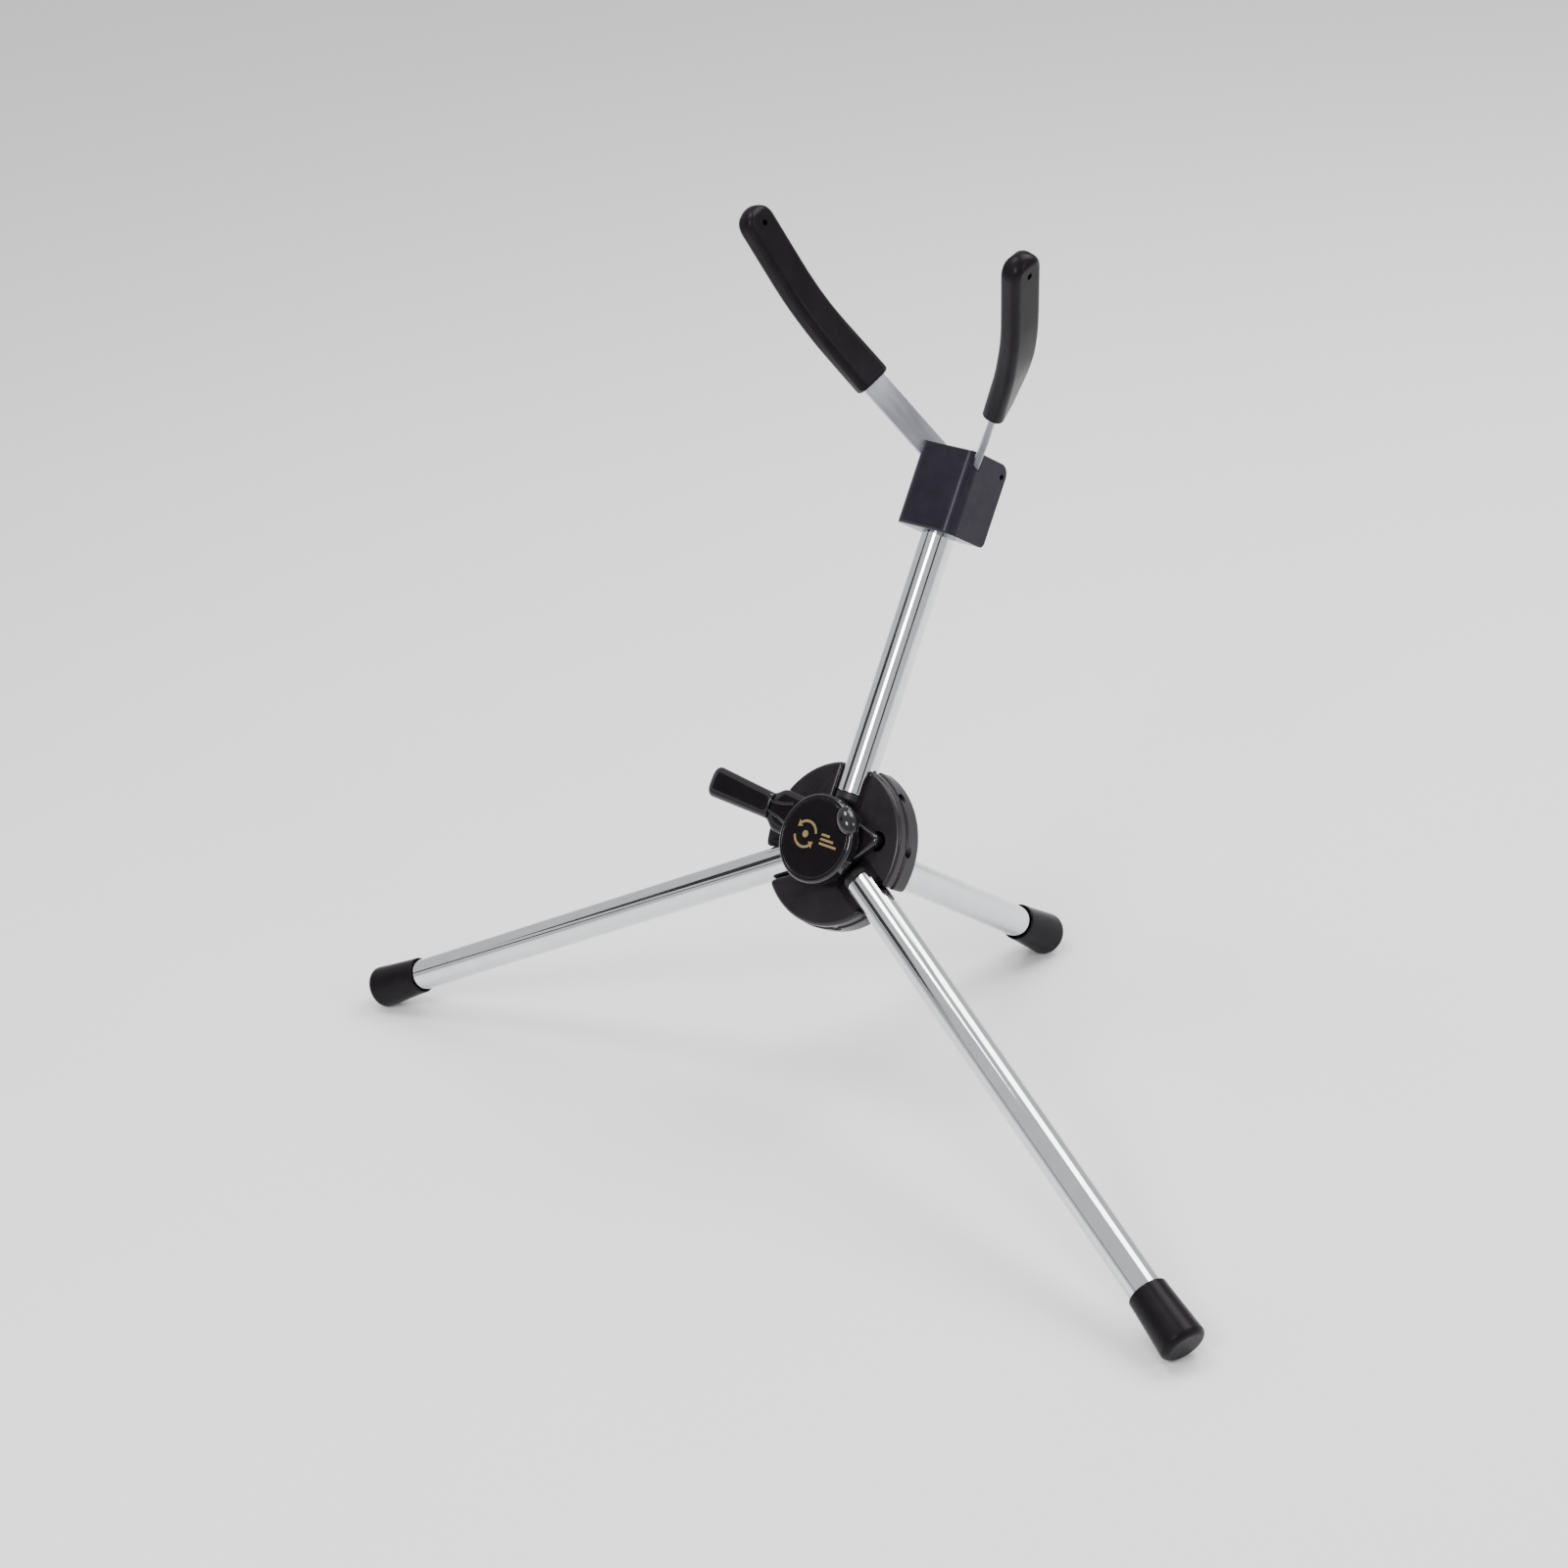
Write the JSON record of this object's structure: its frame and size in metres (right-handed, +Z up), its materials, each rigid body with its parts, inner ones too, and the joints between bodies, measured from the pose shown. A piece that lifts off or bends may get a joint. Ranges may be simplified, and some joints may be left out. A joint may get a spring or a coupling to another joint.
{
  "type": "saxophone stand",
  "caption": "Folding saxophone stand: a clamp hub with a lever knob, folding front legs, a fixed rear leg, and a folding upright whose head carries sleeved cradle arms.",
  "frame": {"origin": "on the floor, at the middle of the opened stand's plan", "axes": "+Z up; -Y is the front, where the knob and the cradle face; +X is to the right of someone looking at the knob"},
  "size_m": [0.53, 0.251, 0.4116],
  "materials": {
    "chrome": "bright chrome plate on thin steel tube",
    "steel": "zinc plated, dull",
    "brass": "turned, bare",
    "drum_plastic": "satin brownish black moulding",
    "gloss_plastic": "glossy black moulding",
    "head_shell": "satin blue-black moulding",
    "nylon": "moulded, slightly waxy",
    "rubber": "smooth satin"
  },
  "bodies": {
    "hub": {"hub_body": "drum_plastic", "rear_leg_tube": "chrome", "rear_leg_rivet": "steel", "rear_foot": "rubber", "clamp_bolt": "steel", "upright_hinge_pin": "steel", "left_leg_hinge_pin": "steel", "right_leg_hinge_pin": "steel"},
    "upright": {"upright_tube": "chrome", "upright_hinge_plug": "nylon", "head_housing": "head_shell", "head_block": "nylon", "head_screw": "steel", "left_arm_rivet": "steel", "right_arm_rivet": "steel"},
    "left_leg": {"left_leg_tube": "chrome", "left_leg_hinge_plug": "nylon", "left_foot": "rubber"},
    "right_leg": {"right_leg_tube": "chrome", "right_leg_hinge_plug": "nylon", "right_foot": "rubber"},
    "clamp": {"clamp_plate": "gloss_plastic", "clamp_washer": "steel"},
    "knob": {"lever_knob": "gloss_plastic", "knob_cap": "gloss_plastic", "knob_insert": "brass"},
    "left_arm": {"left_arm_strip": "steel", "left_arm_sleeve": "rubber"},
    "right_arm": {"right_arm_strip": "steel", "right_arm_sleeve": "rubber"}
  },
  "joints": [
    {"name": "upright_fold", "type": "hinge", "parent": "hub", "child": "upright", "pos_m": [0, -0.00693, 0.15305], "axis": [-1, 0, 0], "range_deg": [0, 90]},
    {"name": "left_leg_fold", "type": "hinge", "parent": "hub", "child": "left_leg", "pos_m": [-0.0265, -0.03391, 0.11592], "axis": [0.5, -0.509, -0.7006], "range_deg": [0, 90]},
    {"name": "right_leg_fold", "type": "hinge", "parent": "hub", "child": "right_leg", "pos_m": [0.0265, -0.03391, 0.11592], "axis": [0.5, 0.509, 0.7006], "range_deg": [0, 90]},
    {"name": "clamp_lift", "type": "slide", "parent": "hub", "child": "clamp", "axis": [0, -0.809, 0.5878], "range_m": [0, 0.0013]},
    {"name": "knob_turn", "type": "hinge", "parent": "clamp", "child": "knob", "pos_m": [0, -0.03884, 0.13841], "axis": [0, -0.809, 0.5878], "range_deg": [0, 360]},
    {"name": "left_arm_swing", "type": "hinge", "parent": "upright", "child": "left_arm", "pos_m": [-0.0095, 0.08149, 0.28361], "axis": [-0.766, 0.52, -0.3778], "range_deg": [0, 45]},
    {"name": "right_arm_swing", "type": "hinge", "parent": "upright", "child": "right_arm", "pos_m": [0.0095, 0.08149, 0.28361], "axis": [-0.766, -0.52, 0.3778], "range_deg": [0, 45]}
  ],
  "couplings": [
    {"joint": "clamp_lift", "follows": "knob_turn", "m_per_rad": 0.00019894}
  ]
}
